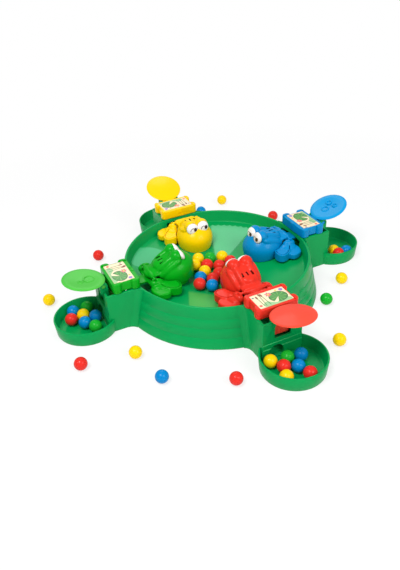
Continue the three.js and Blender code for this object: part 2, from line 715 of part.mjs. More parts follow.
for (const arm of arms) {
  const whole = new THREE.Group()
  whole.rotation.z = radians(arm.turn)
  whole.add(meshOf(`tower_${arm.name}`, shapes.tower, baseColour, 0.3))
  whole.add(meshOf(`dish_${arm.name}`, shapes.dish, baseColour, 0.3))
  whole.add(meshOf(`cover_${arm.name}`, shapes.cover, arm.colour, 0.3))

  const press = radians(arm.pressed)
  const leverMesh = meshOf(`lever_${arm.name}`, leverShape, arm.colour, 0.3)
  leverMesh.position.set(leverPivotRadius, 0, leverPivotHeight)
  leverMesh.rotation.y = press
  whole.add(leverMesh)

  const frog = new THREE.Group()
  frog.position.x = -slidePerRadian * press
  frog.add(meshOf(`jaw_${arm.name}`, shapes.jaw, arm.colour, 0.3))
  const face = new THREE.Group()
  face.position.set(headPivotRadius, 0, headPivotHeight)
  face.rotation.y = press * headRaiseShare
  face.add(meshOf(`head_${arm.name}`, headShape, arm.colour, 0.3))
  face.add(meshOf(`eyes_${arm.name}`, eyeShape, eyeColour, 0.35))
  frog.add(face)
  whole.add(frog)

  dishMarbleShares[arm.name].forEach(([colour, out, side], i) => {
    whole.add(marble(`marble_dish_${arm.name}_${i + 1}`, colour,
      dishCentreRadius + out * marbleDiameter, side * marbleDiameter, dishFloor))
  })
  group.add(whole)
}

pondMarbleShares.forEach(([colour, x, y], i) => {
  const [px, py] = [x * marbleDiameter, y * marbleDiameter]
  const floor = floorHeight(Math.hypot(px, py) + marbleRadius / 2)
  group.add(marble(`marble_pond_${i + 1}`, colour, px, py, floor))
})

export default group
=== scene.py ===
# Looks of a four-frog marble game: pond, arms, dishes, covers, levers, frogs and loose marbles.
# Each piece is shaped in millimetres in the frame of one arm (X away from the pond, Y across it, Z up)
# with the mouth shut and the lever up, and is then turned, opened and brought into metres.
import math

import bmesh
import bpy
from mathutils import Matrix, Vector


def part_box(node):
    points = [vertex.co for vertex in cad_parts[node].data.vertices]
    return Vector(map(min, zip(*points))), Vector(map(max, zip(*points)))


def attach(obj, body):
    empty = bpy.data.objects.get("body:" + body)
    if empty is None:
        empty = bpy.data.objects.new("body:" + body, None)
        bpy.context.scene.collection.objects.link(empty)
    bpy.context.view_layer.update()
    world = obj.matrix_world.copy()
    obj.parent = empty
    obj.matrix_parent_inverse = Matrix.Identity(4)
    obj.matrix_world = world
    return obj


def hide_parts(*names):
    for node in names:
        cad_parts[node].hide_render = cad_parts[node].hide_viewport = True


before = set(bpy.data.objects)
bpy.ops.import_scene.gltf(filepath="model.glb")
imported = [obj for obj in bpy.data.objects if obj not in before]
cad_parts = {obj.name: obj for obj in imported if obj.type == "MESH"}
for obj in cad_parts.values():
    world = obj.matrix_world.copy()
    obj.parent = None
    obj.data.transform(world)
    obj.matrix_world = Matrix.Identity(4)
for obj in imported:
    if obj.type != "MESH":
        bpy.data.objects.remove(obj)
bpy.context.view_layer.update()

METRES = Matrix.Scale(0.001, 4)
SIDES = (-1, 1)

# Play between pieces, and how far a cutting body reaches past what it cuts
GAP = 0.3
PAST = 2

# Marbles: those in the pond and dishes lie where the frame has them
MARBLE = 13.2
POND_MARBLES = "blue red blue yellow green yellow red yellow red red green yellow red red"
DISH_MARBLES = {
    "red": "yellow green blue red blue red yellow",
    "green": "blue green red yellow blue green blue",
    "blue": "yellow blue",
}
TABLE_MARBLES = [
    ("red", -102.1, 121.6), ("yellow", -178.9, 58.4), ("red", -177.2, -59.7), ("yellow", -125.3, -69.3),
    ("blue", -115.7, -112.5), ("red", -56.9, -146.9), ("yellow", 57.4, -147.4), ("green", 86.2, -86.7),
    ("yellow", 124.4, -62.8), ("red", 136.6, 101.9), ("yellow", 99.6, 179), ("blue", 58.7, 162.8),
]

# Arms: the turn of each round the pond and how far its lever is pressed, in degrees
ARMS = {"blue": (0, 0), "yellow": (90, 0), "green": (180, 15), "red": (270, 12.7)}
# Side of each frog's stretched leg
NEAR_LEG = {"blue": -1, "yellow": 1, "green": 1, "red": -1}

# Pond: radii of rim, foot and floor, and their heights
RIM = 101
RIM_TOP = 44.4
FOOT = 110.5
FLOOR_EDGE = 95
FLOOR_EDGE_TOP = 31
FLOOR_MIDDLE = 24
FLOOR_WALL = 2.2
POND_WALL = 2.6
INNER_WALL = 2.2
WALL_INSIDE_TOP = 39.4
GROOVE_HEIGHTS = (32, 22, 12)
GROOVE_HALF = 0.7
GROOVE_DEEP = 0.35

# Raised zones of the floor: a wedge with a waved edge, a round spot and a patch in front
ZONE_RISE = 0.35
ZONE_DEPTH = 0.8
ZONE_EDGE = (90, 30.4)
ZONE_HEIGHTS = (10, 44)
WEDGE = (34, 68)
WEDGE_TIP = [(9, 24), (20, 14)]
WAVES = 39.1
WAVE_AT = 88.6
WAVE_DEEP = 1.9
ROUND_SPOT = (-62, 50, 22)
FRONT_ZONE = [(-47, -25), (-62, -58), (-54, -72), (-40, -80), (-22, -76), (-24, -50)]

# Channel in the floor behind each frog, and the doorway at its end
CHANNEL_START = 60
CHANNEL_END = 97
CHANNEL_HALF = 19
CHANNEL_LOW = 20.2
DOOR_SLOPE_TOP = 16
DOOR_SILL = 7
DOOR_TOP = 40
DOOR_REACH = 115

# Tower, its window and arch, and the chute that the marbles run down
TOWER_HALF = 22
TOWER_WALL = 2.2
TOWER_END = 135
REAR_WALL = 3
FILLET = 9
LEDGE_HEIGHTS = (14, 19.6)
LEDGE_STEP = 0.5
LEDGE_RISE = 0.6
WINDOW_HALF = 9
WINDOW_SILL = 24
ARCH_AT = (-7, 8.2)
ARCH_RADIUS = 8.6
CHUTE_HIGH = 19.6
CHUTE_LOW = 2.6
CHUTE_WALL = 2
GUIDE_FROM = 113
GUIDE_END = 3
GUIDE_WALL = 2
GUIDE_TOP = 19

# Dish
DISH_AT = 153.1
DISH_RIM = 32.9
DISH_FOOT = 31.7
DISH_TOP = 16
DISH_FLOOR = 2
DISH_MARBLE = (DISH_AT - 1.6, -20.7)

# Cover with its picture
COVER_FROM = 97
COVER_TO = 125.7
COVER_HALF = 19.5
COVER_LOW = 44.7
COVER_TOP = 54.6
COVER_WALL = 2
EAR_HALF = 22.6
EAR_LONG = 9.4
EAR_CORNER = 3.6
EAR_RISE = 1
SEAT_HALF = 18.5
SEAT_OVER = 9
TAB_HALF = 4
LABEL_FROM = 101.2
LABEL_TO = 122.9
LABEL_HALF = 18
LABEL_THICK = 0.3

# Lever: its pins, bearings, round pad and ribbed arm
LEVER_AT = (132.5, 50.5)
LEVER_PIN = 2
LEVER_PIN_HALF = 11.5
BEARING_RADIUS = 4.2
BEARING_WALL = 2.4
BEARING_FOOT = 36
HUB = 3.9
HUB_HALF = 8.6
ARM_HALF = 8
ARM_WALL = 1.2
ARM_FOOT = (126.5, 28)
RIB_HALF = 0.8
RIB_DEEP = 3
PANEL_LOW = 24.8
FLAP_HALF = 11.6
FLAP_HEIGHTS = (19.8, 33)
HANGER_LOW = 27
HANGER_TOP = 35
RIDGE_HEIGHTS = (28, 46)
PAD_AT = (146.4, 62)
PAD_RADIUS = 21.4
PAD_TILT = 22.4
DOMED_TOP = [(0, 3.3), (5, 3.1), (10, 2.5), (15, 1.6), (18, 1.05)]
DISHED_TOP = [(0, -0.7), (5, -0.5), (10, 0), (15, 0.75), (18, 1.1)]
PAD_UNDER = [(12, -1.8), (0, -2.2)]
# Beads on the dished pads: radius, thickness, height and place
BEADS = {
    "blue": [(3.8, 1.9, -0.3, -4, 1), (3, 1.8, 0.1, 5.5, 6), (2.6, 1.7, 0.1, 6.5, -3.5)],
    "green": [(5.2, 1.7, -0.2, -5.5, 0), (2.2, 1.4, -0.3, 4, 3.5)],
}

# Frog's jaw with its rails, cheeks and neck, which slides by SLIDE millimetres for each radian of the lever
SLIDE = 15
JAW_AT = 55.5
JAW_RADIUS = 15.4
JAW_LOW = 27.4
JAW_DEEP = 6.4
JAW_WALL = 1.8
JAW_OVER = JAW_LOW + 9
JAW_SIDE_FROM = 68
JAW_END = 82.2
JAW_REAR_HALF = 16.4
JAW_FRONT = 45
JAW_GROOVE = (2.2, 3.9)
JAW_OPENING = (66.5, 12.2)
RAIL_FROM = 58
RAIL_RISE = 3.4
RAIL_ACROSS = (14.6, 16.9)
HINGE = (84, 45)
CHEEK_HALF = 2.8
CHEEK_RISE = 0.6
CHEEK_ACROSS = (15, 17.2)
NECK_HEIGHTS = (37.4, 39.2)
NECK_HALF = 7
NECK_END = 126.2
NECK_ROOT_HALF = 16.1

# Frog's legs: balls have a size and a place, blocks have ends along, across and up
HIP = (15, 9.4, 10.4, 82.2, 17, 40.2)
KNEE = (20, 14, 6, 79, 20, 38.6)
SHIN = (75, 87.6, 15.2, 22, 31.2, 38.6)
TUCKED_KNEE = (18, 9, 8.4, 73, 18.6, 34.4)
TUCKED_SHIN = (76, 87, 15.2, 18.4, 31.6, 39)
THIGH_AT = (72, 20.4)
THIGH_LONG = 16.4
THIGH_WIDE = 9.2
THIGH_LEAN = 126
THIGH_HEIGHTS = (30.6, 39.8)
THIGH_LINE = (-1.2, -2.2)
TOES = [(72.4, 28), (73.4, 34.4), (77, 37.4), (82.4, 37), (88, 34), (90.8, 27.4), (90.8, 20),
        (88, 16), (80, 16)]
TOE_HEIGHTS = (31.4, 38.4)
LEG_PLAY = 0.9
LEG_GRAIN = 0.55

# Frog's head, which turns by HEAD_SHARE of the lever's turn, and its eyes
HEAD_SHARE = 0.8
HEAD_AT = 57.4
HEAD_WALL = 1.8
HEAD_GRAIN = 0.7
HEAD_PIN = 1.3
HEAD_PIN_HALF = 17.2
HEAD_PIN_PLAY = 0.25
HEAD_HUB = (2.9, 10.4)
HEAD_BAR = (2.6, 12.4)
DOME = 22.2
DOME_MIDDLE = 37.6
DOME_RISE = 17.5
NARROWED = Matrix.Diagonal((1, 0.94, 1, 1))
CHIN = [(22.2, 36), (22, 34), (21.7, 32), (21.3, 30), (20.8, 28), (20.3, 26.6)]
CHIN_LOW = 24
LIP = [(80, 40.2), (70, 31.4), (64, 31.2), (61.5, 28.1), (0, 22.1)]
LIP_TOP = 40.2
MOUTH_HALF = 24
NAPE_HALF = 11.6
# Swellings of the head's back: length, width, depth and place
NAPE = [(30, 25, 16, 67.5, 0, 42.4), (18, 18, 9, 69.5, 0, 48.8), (22, 20, 10, 77, 0, 43.8),
        (20, 21, 12, 70, 0, 44), (22, 24, 8, 78.6, 0, 44.2)]
# Lid over each eye and the long folds behind it: size, place, tilt and yaw, on one side
FOLDS = [(14, 14.2, 13, 52.4, 7, 53.3, 0, 0), (33, 8.6, 10.4, 62.4, 7.4, 50.2, 17, 0),
         (29, 8, 9, 64, 12.6, 45.6, 22, -6)]
SLITS_AT = 68.5
SLITS = (-5.5, 0, 5.5)
SLIT_LONG = 2.5
SLIT_WIDE = 0.75
SLIT_HEIGHTS = (51.2, 57)
EYE_AT = (47.6, 6.7, 52.4)
EYE_SIZE = (6.6, 13.6, 12.8)
EYE_TILT = 18
EYE_BAR = 46.6
EYE_STEM_TOP = 51
# Paint on the front of each eye, measured across from the eye's middle and up: a pupil and a curved stroke
PUPIL_AT = (-2.6, 52.3)
PUPIL_HALF = (2.1, 2.2)
STROKE_AT = (0.4, 50.8)
STROKE_HALF = (3, 3.4)


# Tools

def solid(bm):
    """Object made of a finished shape."""
    mesh = bpy.data.meshes.new("shape")
    bm.to_mesh(mesh)
    bm.free()
    thing = bpy.data.objects.new("shape", mesh)
    bpy.context.scene.collection.objects.link(thing)
    return thing


def soften(bm, edges, width, steps=3):
    """Rounds edges, if a width is given."""
    if width:
        bmesh.ops.bevel(bm, geom=list(edges), offset=width, segments=steps, profile=0.5,
                        affect="EDGES", material=-1, clamp_overlap=True)


def finished(thing, *modifiers):
    """Applies modifiers, each a kind and its settings."""
    for kind, settings in modifiers:
        modifier = thing.modifiers.new(kind, kind)
        for key, value in settings.items():
            setattr(modifier, key, value)
    graph = bpy.context.evaluated_depsgraph_get()
    mesh = bpy.data.meshes.new_from_object(thing.evaluated_get(graph))
    thing.modifiers.clear()
    thing.data = mesh
    return thing


def boolean(how, first, others):
    finished(first, *[("BOOLEAN", {"operation": how, "object": other, "solver": "MANIFOLD"})
                      for other in others])
    for other in others:
        bpy.data.objects.remove(other)
    return first


def joined(first, *others):
    return boolean("UNION", first, others)


def cut(first, *others):
    return boolean("DIFFERENCE", first, others)


def rounded_edges(thing, width, steps):
    """The same thing with its sharp edges rounded."""
    return finished(thing, ("BEVEL", {"width": width, "segments": steps, "limit_method": "ANGLE",
                                      "angle_limit": 0.9}))


def melted(parts, grain, passes):
    """Parts grown into one skin, with their joints smoothed."""
    whole = parts[0]
    bm = bmesh.new()
    for part in parts:
        bm.from_mesh(part.data)
    bm.to_mesh(whole.data)
    bm.free()
    for part in parts[1:]:
        bpy.data.objects.remove(part)
    return finished(whole, ("REMESH", {"mode": "VOXEL", "voxel_size": grain, "use_smooth_shade": True}),
                    ("SMOOTH", {"factor": 0.5, "iterations": passes}))


def moved(thing, matrix):
    thing.data.transform(matrix)
    return thing


def block(x0, x1, y0, y1, z0, z1, soft=0, steps=3):
    bm = bmesh.new()
    middle = Matrix.Translation(((x0 + x1) / 2, (y0 + y1) / 2, (z0 + z1) / 2))
    size = Matrix.Diagonal((x1 - x0, y1 - y0, z1 - z0, 1))
    bmesh.ops.create_cube(bm, size=1, matrix=middle @ size)
    soften(bm, bm.edges, soft, steps)
    return solid(bm)


def prism(points, low, high, across=False, soft=0, steps=3):
    """Upright body over [x, y] points, or a body across the arm over [x, z] points."""
    bm = bmesh.new()
    corners = [bm.verts.new((a, low, b) if across else (a, b, low)) for a, b in points]
    side = bmesh.ops.extrude_face_region(bm, geom=[bm.faces.new(corners)])["geom"]
    step = (0, high - low, 0) if across else (0, 0, high - low)
    bmesh.ops.translate(bm, vec=step, verts=[g for g in side if isinstance(g, bmesh.types.BMVert)])
    bmesh.ops.recalc_face_normals(bm, faces=bm.faces)
    soften(bm, bm.edges, soft, steps)
    return solid(bm)


def ball(length, width, depth, x, y, z, tilt=0, yaw=0):
    """Egg shape, tilted about Y and then turned about Z, in degrees."""
    bm = bmesh.new()
    turn = Matrix.Rotation(math.radians(yaw), 4, "Z") @ Matrix.Rotation(math.radians(tilt), 4, "Y")
    place = Matrix.Translation((x, y, z)) @ turn @ Matrix.Diagonal((length, width, depth, 1))
    bmesh.ops.create_uvsphere(bm, u_segments=48, v_segments=32, radius=0.5, matrix=place)
    return solid(bm)


def rod(radius, half, x, z, soft=0):
    """Round bar across the arm."""
    bm = bmesh.new()
    place = Matrix.Translation((x, 0, z)) @ Matrix.Rotation(math.pi / 2, 4, "X")
    bmesh.ops.create_cone(bm, cap_ends=True, segments=48, radius1=radius, radius2=radius, depth=2 * half,
                          matrix=place)
    rims = [edge for edge in bm.edges if any(len(face.verts) > 4 for face in edge.link_faces)]
    soften(bm, rims, soft)
    return solid(bm)


def spun(bm, geom, steps):
    """Turns a profile all the way round the upright axis."""
    bmesh.ops.spin(bm, geom=geom, cent=(0, 0, 0), axis=(0, 0, 1), angle=2 * math.pi, steps=steps,
                   use_merge=True)
    bmesh.ops.remove_doubles(bm, verts=bm.verts, dist=0.001)
    bmesh.ops.recalc_face_normals(bm, faces=bm.faces)


def lathe(points, x=0, steps=96):
    """Body turned about the upright axis at x, over [radius, z] points that start and end on it."""
    bm = bmesh.new()
    corners = [bm.verts.new((r, 0, z)) for r, z in points]
    sides = [bm.edges.new(pair) for pair in zip(corners, corners[1:])]
    spun(bm, corners + sides, steps)
    bmesh.ops.translate(bm, vec=(x, 0, 0), verts=bm.verts)
    return solid(bm)


def bead(radius, thickness, height, x, y):
    """Round bead in a circle."""
    bm = bmesh.new()
    place = Matrix.Translation((radius, 0, height)) @ Matrix.Rotation(math.pi / 2, 4, "X")
    made = bmesh.ops.create_circle(bm, segments=12, radius=thickness / 2, matrix=place)
    spun(bm, made["verts"] + list(bm.edges), 72)
    bmesh.ops.translate(bm, vec=(x, y, 0), verts=bm.verts)
    return solid(bm)


def arc(x, y, radius, start, end, steps):
    """Points on an arc, with the angles in degrees."""
    turns = [math.radians(start + (end - start) * i / steps) for i in range(steps + 1)]
    return [(x + radius * math.cos(a), y + radius * math.sin(a)) for a in turns]


def rounded(x0, x1, y0, y1, corner, steps=6):
    """Outline of a rectangle with round corners."""
    left, right = x0 + corner, x1 - corner
    near, far = y0 + corner, y1 - corner
    return (arc(right, far, corner, 0, 90, steps) + arc(left, far, corner, 90, 180, steps)
            + arc(left, near, corner, 180, 270, steps) + arc(right, near, corner, 270, 360, steps))


def ends(side, near, far):
    """Where a body on one side of the arm starts and ends across it, lowest first."""
    return sorted((side * near, side * far))


def side_block(side, x0, x1, near, far, z0, z1, soft=0, steps=3):
    return block(x0, x1, *ends(side, near, far), z0, z1, soft, steps)


def side_ball(side, length, width, depth, x, y, z, tilt=0, yaw=0):
    return ball(length, width, depth, x, side * y, z, tilt, side * yaw)


def swing(x, z, turn):
    """Turn about an axis across the arm."""
    return (Matrix.Translation((x, 0, z)) @ Matrix.Rotation(turn, 4, "Y")) @ Matrix.Translation((-x, 0, -z))


# Pond

def floor_height(distance):
    return FLOOR_MIDDLE + (FLOOR_EDGE_TOP - FLOOR_MIDDLE) * (distance / FLOOR_EDGE) ** 2


def skirt(height):
    """Radius of the flared wall's outside."""
    return FOOT + (RIM - FOOT) * height / RIM_TOP


def wedge_outline():
    """Pale wedge of the floor, with a waved outer edge."""
    start, end = [math.radians(angle) for angle in WEDGE]
    steps = 128
    edge = []
    for i in range(steps + 1):
        turn = start + (end - start) * i / steps
        reach = WAVE_AT - WAVE_DEEP * abs(math.sin((turn - start) * WAVES))
        edge.append((reach * math.cos(turn), reach * math.sin(turn)))
    return edge + WEDGE_TIP


def raised_zones(floor):
    """Thin layers on the floor, cut from one dished plate by their outlines."""
    top = [(r, z + ZONE_RISE) for r, z in floor]
    under = [(r, z - ZONE_DEPTH) for r, z in reversed(floor)]
    plate = lathe(top + [ZONE_EDGE] + under, steps=160)
    outlines = (wedge_outline(), arc(*ROUND_SPOT, 0, 360, 72)[1:], FRONT_ZONE)
    zones = [prism(outline, *ZONE_HEIGHTS) for outline in outlines]
    return boolean("INTERSECT", plate, [joined(*zones)])


def trough():
    """Floor of the channel behind a frog."""
    half = CHANNEL_HALF + INNER_WALL
    start, high = CHANNEL_START - INNER_WALL, floor_height(CHANNEL_START)
    return prism([(start, high - FLOOR_WALL), (CHANNEL_END, CHANNEL_LOW - FLOOR_WALL),
                  (CHANNEL_END, FLOOR_EDGE_TOP - FLOOR_WALL / 2), (start, high - FLOOR_WALL / 2)],
                 -half, half, across=True)


def channel():
    """Room of the channel, down to the doorway's sill."""
    return prism([(CHANNEL_START, floor_height(CHANNEL_START) - 0.02), (CHANNEL_END, CHANNEL_LOW),
                  (CHANNEL_END, DOOR_SLOPE_TOP), (DOOR_REACH, DOOR_SILL), (DOOR_REACH, DOOR_TOP),
                  (CHANNEL_START, DOOR_TOP)], -CHANNEL_HALF, CHANNEL_HALF, across=True)


def pond():
    """Dished floor, round lip and flared grooved wall in one moulding, with four channels and doorways."""
    rings = 20
    inside = RIM - POND_WALL
    floor = [(FLOOR_EDGE * i / rings, floor_height(FLOOR_EDGE * i / rings)) for i in range(rings)]
    corner = [(FLOOR_EDGE - 0.8, FLOOR_EDGE_TOP - 0.05), (FLOOR_EDGE, FLOOR_EDGE_TOP + 0.1),
              (FLOOR_EDGE + 0.6, FLOOR_EDGE_TOP + 0.6), (FLOOR_EDGE + 1, FLOOR_EDGE_TOP + 1.4)]
    lip = [(inside - 0.1, RIM_TOP - 1.2), (inside + 0.1, RIM_TOP - 0.6), (inside + 0.6, RIM_TOP - 0.15),
           (inside + 1.2, RIM_TOP), (RIM - 1.1, RIM_TOP), (RIM - 0.5, RIM_TOP - 0.15),
           (RIM - 0.05, RIM_TOP - 0.6), (RIM + 0.15, RIM_TOP - 1.2)]
    wall = [(skirt(z + rise) - deep, z + rise) for z in GROOVE_HEIGHTS
            for rise, deep in ((GROOVE_HALF, 0), (0, GROOVE_DEEP), (-GROOVE_HALF, 0))]
    foot = [(FOOT - 0.1, 0.8), (FOOT - 0.5, 0), (FOOT - POND_WALL, 0)]
    under = [(skirt(WALL_INSIDE_TOP) - POND_WALL, WALL_INSIDE_TOP),
             (FLOOR_EDGE + INNER_WALL, FLOOR_EDGE_TOP - FLOOR_WALL / 2)]
    lower = [(r, z - FLOOR_WALL) for r, z in reversed(floor)]
    body = lathe(floor + corner + lip + wall + foot + under + lower, steps=192)
    zones = raised_zones(floor)
    spins = [Matrix.Rotation(math.radians(turn), 4, "Z") for turn, _ in ARMS.values()]
    troughs = [moved(trough(), spin) for spin in spins]
    channels = [moved(channel(), spin) for spin in spins]
    return cut(joined(body, zones, *troughs), *channels)


# Pieces of an arm

def chute_height(distance):
    end = TOWER_END - REAR_WALL
    return CHUTE_HIGH + (CHUTE_LOW - CHUTE_HIGH) * (distance - CHANNEL_END) / (end - CHANNEL_END)


def chute(start, end, half):
    """Stretch of the sloped plate that the marbles run down."""
    top = [(start, chute_height(start)), (end, chute_height(end))]
    return prism(top + [(x, z - CHUTE_WALL) for x, z in reversed(top)], -half, half, across=True)


def web(side):
    """Fillet between the tower's side and the pond's wall, leaning with the wall."""
    y = TOWER_HALF + FILLET
    x = math.sqrt((FOOT + FILLET) ** 2 - y ** 2)
    end = 180 + math.degrees(math.atan2(y, x))
    curve = [(a, side * b) for a, b in arc(x, y, FILLET, 270, end, 14)]
    root = FOOT - FILLET
    wall = side * (TOWER_HALF - TOWER_WALL)
    lean = Matrix.Identity(4)
    lean[0][2] = (RIM - FOOT) / RIM_TOP
    return moved(prism(curve + [(root, curve[-1][1]), (root, wall), (curve[0][0], wall)], 0, RIM_TOP), lean)


def bearing(side):
    """Cheek beside the window, for one of the lever's pins."""
    x, z = LEVER_AT
    near = WINDOW_HALF + GAP
    outline = [(x - BEARING_RADIUS, BEARING_FOOT), (TOWER_END - 2 * LEDGE_STEP, BEARING_FOOT),
               (x + BEARING_RADIUS, RIM_TOP), (x + BEARING_RADIUS, z)]
    return prism(outline + arc(x, z, BEARING_RADIUS, 10, 180, 16), *ends(side, near, near + BEARING_WALL),
                 across=True)


def tower():
    """Hollow housing behind the pond's wall, with ledges, chute, window, arch and bearings."""
    start = RIM - FILLET
    inner = TOWER_END - REAR_WALL
    inside = TOWER_HALF - TOWER_WALL
    first, second = LEDGE_HEIGHTS
    middle, back = TOWER_END - LEDGE_STEP, TOWER_END - 2 * LEDGE_STEP
    body = prism([(start, 0), (TOWER_END, 0), (TOWER_END, first), (middle, first + LEDGE_RISE),
                  (middle, second), (back, second + LEDGE_RISE), (back, RIM_TOP), (start, RIM_TOP)],
                 -TOWER_HALF, TOWER_HALF, across=True)
    body = rounded_edges(body, 0.7, 3)
    room = block(start - FILLET - PAST, inner, -inside, inside, -PAST, RIM_TOP + PAST)
    over = RIM_TOP + POND_WALL
    pond_side = lathe([(0, over), (skirt(over) + GAP, over), (skirt(-PAST) + GAP, -PAST), (0, -PAST)],
                      steps=192)
    body = cut(joined(body, *[web(side) for side in SIDES]), room, pond_side)
    wide = TOWER_HALF - TOWER_WALL / 2
    guide = prism([(GUIDE_FROM, wide), (inner + GAP, GUIDE_END), (inner + GAP, GUIDE_END + GUIDE_WALL),
                   (GUIDE_FROM + GUIDE_WALL, wide)], CHUTE_LOW, GUIDE_TOP)
    body = joined(body, chute(FOOT + GAP, inner + GAP, wide), guide)
    body = joined(body, chute(CHANNEL_END + GAP, FOOT + 3, CHANNEL_HALF - GAP))
    window = block(inner - PAST, TOWER_END + PAST, -WINDOW_HALF, WINDOW_HALF, WINDOW_SILL, RIM_TOP + PAST)
    # The arch is drawn flat over [y, z] and stood up across the arm
    y, z = ARCH_AT
    door = arc(y, z, ARCH_RADIUS, 0, 180, 28) + [(y - ARCH_RADIUS, CHUTE_LOW), (y + ARCH_RADIUS, CHUTE_LOW)]
    upright = Matrix(((0, 0, 1, 0), (1, 0, 0, 0), (0, 1, 0, 0), (0, 0, 0, 1)))
    body = cut(body, window, moved(prism(door, inner - PAST, TOWER_END + PAST), upright))
    body = joined(body, *[bearing(side) for side in SIDES])
    return cut(body, rod(LEVER_PIN + GAP, TOWER_HALF, *LEVER_AT))


def dish():
    """Round catch dish, cut away where the tower stands in it."""
    floor = [(0, DISH_FLOOR), (DISH_FOOT - 4, DISH_FLOOR), (DISH_FOOT - 2.6, DISH_FLOOR + 0.4),
             (DISH_FOOT - 1.9, DISH_FLOOR + 1.2)]
    lip = [(DISH_RIM - 1.85, DISH_TOP - 0.7), (DISH_RIM - 1.5, DISH_TOP - 0.15),
           (DISH_RIM - 0.95, DISH_TOP), (DISH_RIM - 0.35, DISH_TOP - 0.15), (DISH_RIM, DISH_TOP - 0.7)]
    foot = [(DISH_FOOT, 0.9), (DISH_FOOT - 0.5, 0), (0, 0)]
    bowl = lathe(floor + lip + foot, DISH_AT, 144)
    half = TOWER_HALF + GAP
    return cut(bowl, block(DISH_AT - 2 * DISH_RIM, TOWER_END + GAP, -half, half, -PAST, DISH_TOP + PAST))


def cover():
    """Plate over the tower's front, with four raised ears round the seat of its picture."""
    body = block(COVER_FROM + GAP, COVER_TO - GAP, -COVER_HALF, COVER_HALF, COVER_LOW, COVER_TOP, 0.8)
    bars = [prism(rounded(start, start + EAR_LONG, -EAR_HALF, EAR_HALF, EAR_CORNER, 8),
                  COVER_LOW, COVER_TOP + EAR_RISE)
            for start in (COVER_FROM, COVER_TO - EAR_LONG)]
    bars = [rounded_edges(bar, 1.1, 4) for bar in bars]
    tab = prism(rounded(COVER_FROM - 0.4, COVER_FROM + TAB_HALF, -TAB_HALF, TAB_HALF, 2, 8),
                COVER_LOW + 4, COVER_TOP + 0.5, soft=0.3)
    seat = prism(rounded(COVER_FROM - SEAT_OVER, COVER_TO + SEAT_OVER, -SEAT_HALF, SEAT_HALF, 1.6),
                 COVER_TOP, COVER_TOP + 5)
    inside = COVER_HALF - COVER_WALL
    hollow = block(COVER_FROM + COVER_WALL, COVER_TO - COVER_WALL, -inside, inside,
                   COVER_LOW - PAST, COVER_TOP - COVER_WALL, 0.6)
    return joined(cut(joined(body, *bars), seat, hollow), tab)


def label():
    """Card with the picture, just clear of its seat."""
    low = COVER_TOP + 0.02
    return prism(rounded(LABEL_FROM, LABEL_TO, -LABEL_HALF, LABEL_HALF, 0.8), low, low + LABEL_THICK,
                 soft=0.08, steps=1)


def pad(kind):
    """Round leaf to press: domed on two of the levers, dished with beads on the others."""
    top = DISHED_TOP if kind in BEADS else DOMED_TOP
    rim = [(PAD_RADIUS - 2, 0.9), (PAD_RADIUS - 0.8, 0.5), (PAD_RADIUS - 0.1, 0.15), (PAD_RADIUS, -0.1),
           (PAD_RADIUS - 0.2, -0.4), (PAD_RADIUS - 1, -0.85), (PAD_RADIUS - 2.4, -1.2)]
    leaf = lathe(top + rim + PAD_UNDER, steps=128)
    for numbers in BEADS.get(kind, []):
        leaf = joined(leaf, bead(*numbers))
    x, z = PAD_AT
    return moved(leaf, Matrix.Translation((x, 0, z)) @ Matrix.Rotation(math.radians(-PAD_TILT), 4, "Y"))


def under_pad(distance):
    """Point in the pad, this far from its middle along its slope."""
    tilt = math.radians(PAD_TILT)
    return (PAD_AT[0] + math.cos(tilt) * distance, PAD_AT[1] + math.sin(tilt) * distance - 0.3)


def lever(kind):
    """Pad, web, hub and pins, and below them the ribbed arm with the panel seen through the window."""
    x, z = LEVER_AT
    foot_x, foot_z = ARM_FOOT
    leaf = pad(kind)
    wall = [(x - 2, z), (x + HUB, z), under_pad(-5.3), under_pad(-16)]
    neck = prism(wall, -ARM_HALF, ARM_HALF, across=True, soft=0.4, steps=2)
    hub = rod(HUB, HUB_HALF, x, z, soft=0.4)
    pins = rod(LEVER_PIN, LEVER_PIN_HALF, x, z, soft=0.3)
    plate = [(x - ARM_WALL, z), (x + ARM_WALL, z), (foot_x + ARM_WALL, foot_z), (foot_x - ARM_WALL, foot_z)]
    arm = prism(plate, -ARM_HALF, ARM_HALF, across=True, soft=0.3, steps=2)
    fin = [(x, z), (x + RIB_DEEP, z), (foot_x + RIB_DEEP, foot_z + 0.2), (foot_x, foot_z + 0.2)]
    ribs = [prism(fin, y - RIB_HALF, y + RIB_HALF, across=True, soft=0.3, steps=2)
            for y in (RIB_HALF - ARM_HALF, 0, ARM_HALF - RIB_HALF)]
    front = [(x - 1, z), (x + 3.6, z), (x + 3, PANEL_LOW), (x + 0.6, PANEL_LOW)]
    panel = prism(front, -HUB_HALF, HUB_HALF, across=True, soft=0.3, steps=2)
    flap = block(x - 2.8, x - 0.9, -FLAP_HALF, FLAP_HALF, *FLAP_HEIGHTS, 0.3, 2)
    bracket = [(x + ARM_WALL, HANGER_TOP), (x + ARM_WALL, HANGER_LOW + 2), (x - 2, HANGER_LOW),
               (x - 2, HANGER_TOP)]
    hanger = prism(bracket, -ARM_HALF - 0.2, ARM_HALF + 0.2, across=True)
    ridge = block(x + 2.6, x + 3.7, -0.6, 0.6, *RIDGE_HEIGHTS, 0.25, 2)
    return joined(leaf, neck, hub, pins, arm, *ribs, hanger, flap, panel, ridge)


# Frog

def pan_outline(inset):
    """Outline of the jaw, round in front and straight behind."""
    half = JAW_REAR_HALF - inset
    end = JAW_END - inset
    return (arc(JAW_AT, 0, JAW_RADIUS - inset, 90, 270, 48)
            + [(JAW_SIDE_FROM, -half), (end, -half), (end, half), (JAW_SIDE_FROM, half)])


